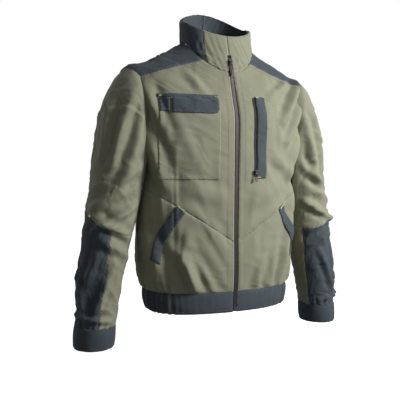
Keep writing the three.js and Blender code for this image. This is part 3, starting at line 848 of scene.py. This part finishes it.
# Bartacks: short dense bars of lime thread across the ends of the pockets, laid on the cloth where
# the frame has them.
def bartack(name, start, end, lift, width=0.0034):
    mesh = bmesh.new()
    turns = 11
    for turn in range(turns):
        place = Vector(start).lerp(Vector(end), (turn + 0.5) / turns)
        hit, normal = on_front(place.x, place.y)
        run = Vector((end[0] - start[0], 0, end[1] - start[1])).normalized()
        bar = normal.cross(run).normalized()
        made = bmesh.ops.create_icosphere(mesh, subdivisions=1, radius=0.5)["verts"]
        gap = (Vector(end) - Vector(start)).length / turns
        for vert in made:
            x, y, z = vert.co
            vert.co = hit + normal * (lift + z * 0.0012) + bar * (y * width) + run * (x * gap * 1.15)
    stands_for(name, as_object(name, mesh, lime_thread))


bartack("flap_bartack_inner", (-0.053, -0.157), (-0.045, -0.157), 0.0044)
bartack("flap_bartack_outer", (-0.176, -0.157), (-0.168, -0.157), 0.0044)
bartack("chest_zip_bartack_top", (0.0525, -0.1515), (0.0615, -0.1515), 0.0042)
bartack("chest_zip_bartack_bottom", (0.0525, -0.3365), (0.0615, -0.3365), 0.0042)
bartack("hand_pocket_bartack_right", (-0.123, -0.4125), (-0.136, -0.402), 0.0044, 0.0042)
bartack("hand_pocket_bartack_left", (0.123, -0.4125), (0.136, -0.402), 0.0044, 0.0042)

# Topstitching: rows of short thread stitches beside the seams, each sunk a little into the cloth.
# These pieces add to the frame and replace nothing in it.
def stitch_row(name, line, tree, thread, lift=0.0003, pitch=0.0036):
    """One row along a line of points, laid on the nearest cloth at an even pitch."""
    line = np.asarray(line)
    run = np.concatenate([[0], np.cumsum(np.linalg.norm(np.diff(line, axis=0), axis=1))])
    marks = np.arange(pitch / 2, run[-1], pitch)
    places = np.stack([np.interp(marks, run, line[:, axis]) for axis in range(3)], axis=1)
    mesh = bmesh.new()
    for index, place in enumerate(places):
        ahead = places[min(index + 1, len(places) - 1)] - places[max(index - 1, 0)]
        hit, normal = tree.find_nearest(Vector(place))[:2]
        along = Vector(ahead).normalized()
        across = normal.cross(along).normalized()
        made = bmesh.ops.create_icosphere(mesh, subdivisions=1, radius=0.5)["verts"]
        for vert in made:
            x, y, z = vert.co
            vert.co = hit + along * (x * 0.0026) + across * (y * 0.0006) + normal * (z * 0.0007 + lift)
    piece = as_object(name, mesh, thread)
    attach(piece, "jacket")


def front_line(start, end, count=160):
    """Points of the creased fronts along a straight line in x and z."""
    return [on_front(*Vector(start).lerp(Vector(end), step / count))[0] for step in range(count + 1)]


def seam_line(sheet, point, normal, keep, order):
    """Points where a sheet meets a plane, limited by keep and sorted by order."""
    mesh = sheet.copy()
    cut = split_along(mesh, point, normal)
    found = [v.co.copy() for v in cut if isinstance(v, bmesh.types.BMVert) and keep(v.co)]
    mesh.free()
    return sorted(found, key=order)


for side, sign in side_sign.items():
    for row, drop in (("upper", 0.005), ("lower", 0.0105)):
        yoke_ends = [(sign * x, yoke_height - yoke_slope * x - drop) for x in (0.068, 0.214)]
        yoke_row = front_line(*yoke_ends)
        stitch_row(f"yoke_stitching_{row}_{side}", yoke_row, trunk_tree, olive_thread)
        skirt_ends = [(sign * x, skirt_height + skirt_slope * x + drop) for x in (0.012, 0.118)]
        skirt_row = front_line(*skirt_ends)
        stitch_row(f"skirt_stitching_{row}_{side}", skirt_row, trunk_tree, olive_thread)
    for row, beside in (("inner", 0.0095), ("outer", 0.022)):
        placket = front_line((sign * beside, -0.598), (sign * beside, -0.1), 300)
        stitch_row(f"zip_stitching_{row}_{side}", placket, trunk_tree, olive_thread)
pocket_edge = front_line((-0.176, -0.2), (-0.176, -0.340))
pocket_edge += front_line((-0.175, -0.3405), (-0.045, -0.3405))
pocket_edge += front_line((-0.0445, -0.340), (-0.0445, -0.2))
stitch_row("chest_pocket_stitching", pocket_edge, trunk_tree, olive_thread, 0.0026)
for row, x in (("inner", 0.0545), ("outer", 0.0765)):
    welt_row = front_line((x, -0.337), (x, -0.151))
    stitch_row(f"chest_welt_stitching_{row}", welt_row, trunk_tree, slate_thread, 0.0038)
back_row = seam_line(trunk, (0, 0, -0.136), (0, 0, 1), lambda co: co.y > 0.03, lambda co: co.x)
stitch_row("back_yoke_stitching", back_row, trunk_tree, olive_thread)
around_front = np.radians(np.linspace(-88, -2, 260))
around_collar = np.radians(np.linspace(-87, -14, 200))
full_turn = np.linspace(0, 1, 300)
patch_inset = 0.005
band_tree = BVHTree.FromBMesh(band)
for side, sign in side_sign.items():
    for row, at in (("lower", 0.35), ("upper", 1.75)):
        band_row = on_levels(band_levels, around_front, np.full(260, at)) * (sign, 1, 1)
        stitch_row(f"waistband_stitching_{row}_{side}", band_row, band_tree, slate_thread)
    for row, at in (("lower", 0.25), ("upper", 1.86)):
        collar_row = on_levels(collar_levels, around_collar, np.full(200, at)) * (sign, 1, 1)
        stitch_row(f"collar_stitching_{row}_{side}", collar_row, collar_tree, olive_thread)
    for row, at in (("lower", 0.93), ("upper", 0.42)):
        cuff_row = arm_tube(cuff_rings, sign, full_turn, np.full(300, at))
        stitch_row(f"cuff_stitching_{row}_{side}", cuff_row, cuff_trees[side], slate_thread)
    patch_point, patch_plane = patch_seam(side, patch_inset)
    patch_row = seam_line(sleeves[side], patch_point, patch_plane,
                          lambda co: cuff_top + 0.004 < co.z < -0.47 and co.y < -0.01, lambda co: co.z)
    stitch_row(f"patch_stitching_{side}", patch_row, sleeve_trees[side], slate_thread)
    elbow_plane = Vector((-sign * 0.4, -0.35, 1))
    elbow_point = Vector((sign * elbow_x, 0, elbow - 0.006))
    on_patch = lambda co: co.y < -0.008 and (co - patch_point).dot(patch_plane) > 0
    elbow_row = seam_line(sleeves[side], elbow_point, elbow_plane, on_patch, lambda co: co.x)
    stitch_row(f"elbow_stitching_{side}", elbow_row, sleeve_trees[side], slate_thread)

# Elbow pocket pulls: a folded tab of lime tape caught in the elbow seam of each sleeve. It lies on
# the creased cloth, turned to the cloth's slope there.
for side, sign in side_sign.items():
    name = f"elbow_pull_{side}"
    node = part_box(name)
    middle = (Vector(node[0]) + Vector(node[1])) / 2
    hit, normal = sleeve_trees[side].find_nearest(middle)[:2]
    tab = bmesh.new()
    bmesh.ops.create_cube(tab, size=1)
    bmesh.ops.scale(tab, verts=tab.verts, vec=(0.0035, 0.013, 0.0055))
    bmesh.ops.bevel(tab, geom=tab.edges[:], offset=0.0009, segments=3, profile=0.5, affect="EDGES",
                    material=-1)
    turn = normal.to_track_quat("X", "Z").to_matrix().to_4x4()
    bmesh.ops.transform(tab, verts=tab.verts, matrix=turn)
    bmesh.ops.translate(tab, verts=tab.verts, vec=hit + normal * 0.001)
    stands_for(name, as_object(name, tab, lime_thread))

# Main zip: two woven tapes behind the fronts and two rows of interlocked teeth. Its stops and box
# keep their frame shape, as said at the end.
line_at = np.linspace(0, 1, 400)
centre_front = np.concatenate([
    on_levels(rows, np.full(400, -math.pi / 2), line_at * (len(rows) - 1))
    for rows in (band_levels, trunk_levels, collar_levels)
])


def front_y(z):
    """Depth of the centre front, dead straight where the slider runs."""
    if breast < z < neck_drop:
        return -front_at(z)
    return float(np.interp(z, centre_front[:, 2], centre_front[:, 1]))


tooth_pitch = 0.0028
chain_top = -0.0625
for side, sign in side_sign.items():
    tape = bmesh.new()
    bmesh.ops.create_grid(tape, x_segments=4, y_segments=220, size=0.5)
    for vert in tape.verts:
        z = hem + 0.002 + (vert.co.y + 0.5) * (slot_top - hem - 0.004)
        vert.co = (sign * (0.0004 + (vert.co.x + 0.5) * 0.0136), front_y(z) + 0.0042, z)
    if side == "right":
        bmesh.ops.reverse_faces(tape, faces=tape.faces)
    bmesh.ops.solidify(tape, geom=tape.faces[:], thickness=0.0009)
    bmesh.ops.recalc_face_normals(tape, faces=tape.faces)
    stands_for(f"zip_tape_{side}", as_object(f"zip_tape_{side}", tape, zip_tape))
    teeth = bmesh.new()
    bottom = hem + 0.016 + (tooth_pitch / 2 if side == "left" else 0)
    for step in range(int((chain_top - bottom) / tooth_pitch)):
        z = bottom + step * tooth_pitch
        made = bmesh.ops.create_cube(teeth, size=1)["verts"]
        for vert in made:
            x, y, height = vert.co
            narrow = 1 - 0.3 * (x * sign < 0)
            vert.co = (sign * 0.0017 + x * 0.0040, front_y(z) + 0.0020 + y * 0.0030,
                       z + height * 0.0017 * narrow)
    stands_for(f"zip_teeth_{side}", as_object(f"zip_teeth_{side}", teeth, blackened_metal))


# Sliders and pullers: cast metal bodies with a bevelled face, cheeks and pin, and a slotted tongue.
# Each slider and each puller is a body of its own, so that it can slide and swing.
def cast(mesh, size, place, bevel):
    made = bmesh.ops.create_cube(mesh, size=1)["verts"]
    bmesh.ops.scale(mesh, verts=made, vec=size)
    bmesh.ops.translate(mesh, verts=made, vec=place)
    edges = list({edge for vert in made for edge in vert.link_edges})
    bmesh.ops.bevel(mesh, geom=edges, offset=bevel, segments=2, profile=0.5, affect="EDGES", material=-1)


def turned_into_place(mesh, place, tilt):
    bmesh.ops.rotate(mesh, verts=mesh.verts, cent=(0, 0, 0), matrix=tilt)
    bmesh.ops.translate(mesh, verts=mesh.verts, vec=place)


pin_out = 0.0048
for word, place, tilt, half, length, reach in (
    ("main", (0, front_at(-0.07) * -1 - 0.0001, -0.07), -math.atan(lean), 0.0046, 0.016, 0.034),
    ("chest", (0.0479, -0.1176, -0.325), 0.0, 0.0035, 0.010, 0.022),
):
    tilted = Matrix.Rotation(tilt, 3, "X")
    wing = bmesh.new()
    cast(wing, (2 * half, 0.0024, length), (0, -0.0012, 0), 0.0008)
    cast(wing, (1.1 * half, 0.0008, length * 0.5), (0, -0.0026, -length * 0.12), 0.0003)
    for cheek in (-1, 1):
        cast(wing, (0.0009, 0.0038, 0.003), (cheek * 0.00295, -0.0041, 0.0025), 0.0003)
    pin_radius = 0.0008
    pin = bmesh.ops.create_cone(wing, cap_ends=True, segments=16, radius1=pin_radius, radius2=pin_radius,
                                depth=0.006)
    bmesh.ops.rotate(wing, verts=pin["verts"], cent=(0, 0, 0), matrix=Matrix.Rotation(math.pi / 2, 3, "Y"))
    bmesh.ops.translate(wing, verts=pin["verts"], vec=(0, -pin_out, 0.0025))
    turned_into_place(wing, place, tilted)
    stands_for(f"{word}_slider", as_object(f"{word}_slider", wing, blackened_metal))
    tongue = bmesh.new()
    for rail in (-1, 1):
        rail_place = (rail * 0.0022, -pin_out, -0.0022 - reach * 0.25)
        cast(tongue, (0.0012, 0.0016, reach * 0.5), rail_place, 0.0004)
    cast(tongue, (0.0042, 0.0011, 0.0014), (0, -pin_out + 0.0016, 0.0025), 0.0004)
    cast(tongue, (0.0042, 0.0011, 0.0014), (0, -pin_out - 0.0016, 0.0025), 0.0004)
    cast(tongue, (0.0042, 0.0042, 0.0012), (0, -pin_out, 0.0000), 0.0004)
    cast(tongue, (0.0056, 0.0016, 0.003), (0, -pin_out, -0.0022), 0.0005)
    cast(tongue, (0.006, 0.0018, reach * 0.48), (0, -pin_out, -reach + reach * 0.24), 0.0006)
    turned_into_place(tongue, place, tilted)
    stands_for(f"{word}_puller", as_object(f"{word}_puller", tongue, blackened_metal))

# The pieces that keep their frame shape: stops and box of the zip, label, hanger loop and zip guard.
# They are small and plain, and only take a material here.
for node, material_slot in slot_of.items():
    if node in frame["nodes"]:
        frame["nodes"][node].data.materials.clear()
        frame["nodes"][node].data.materials.append(finish_of[material_slot])
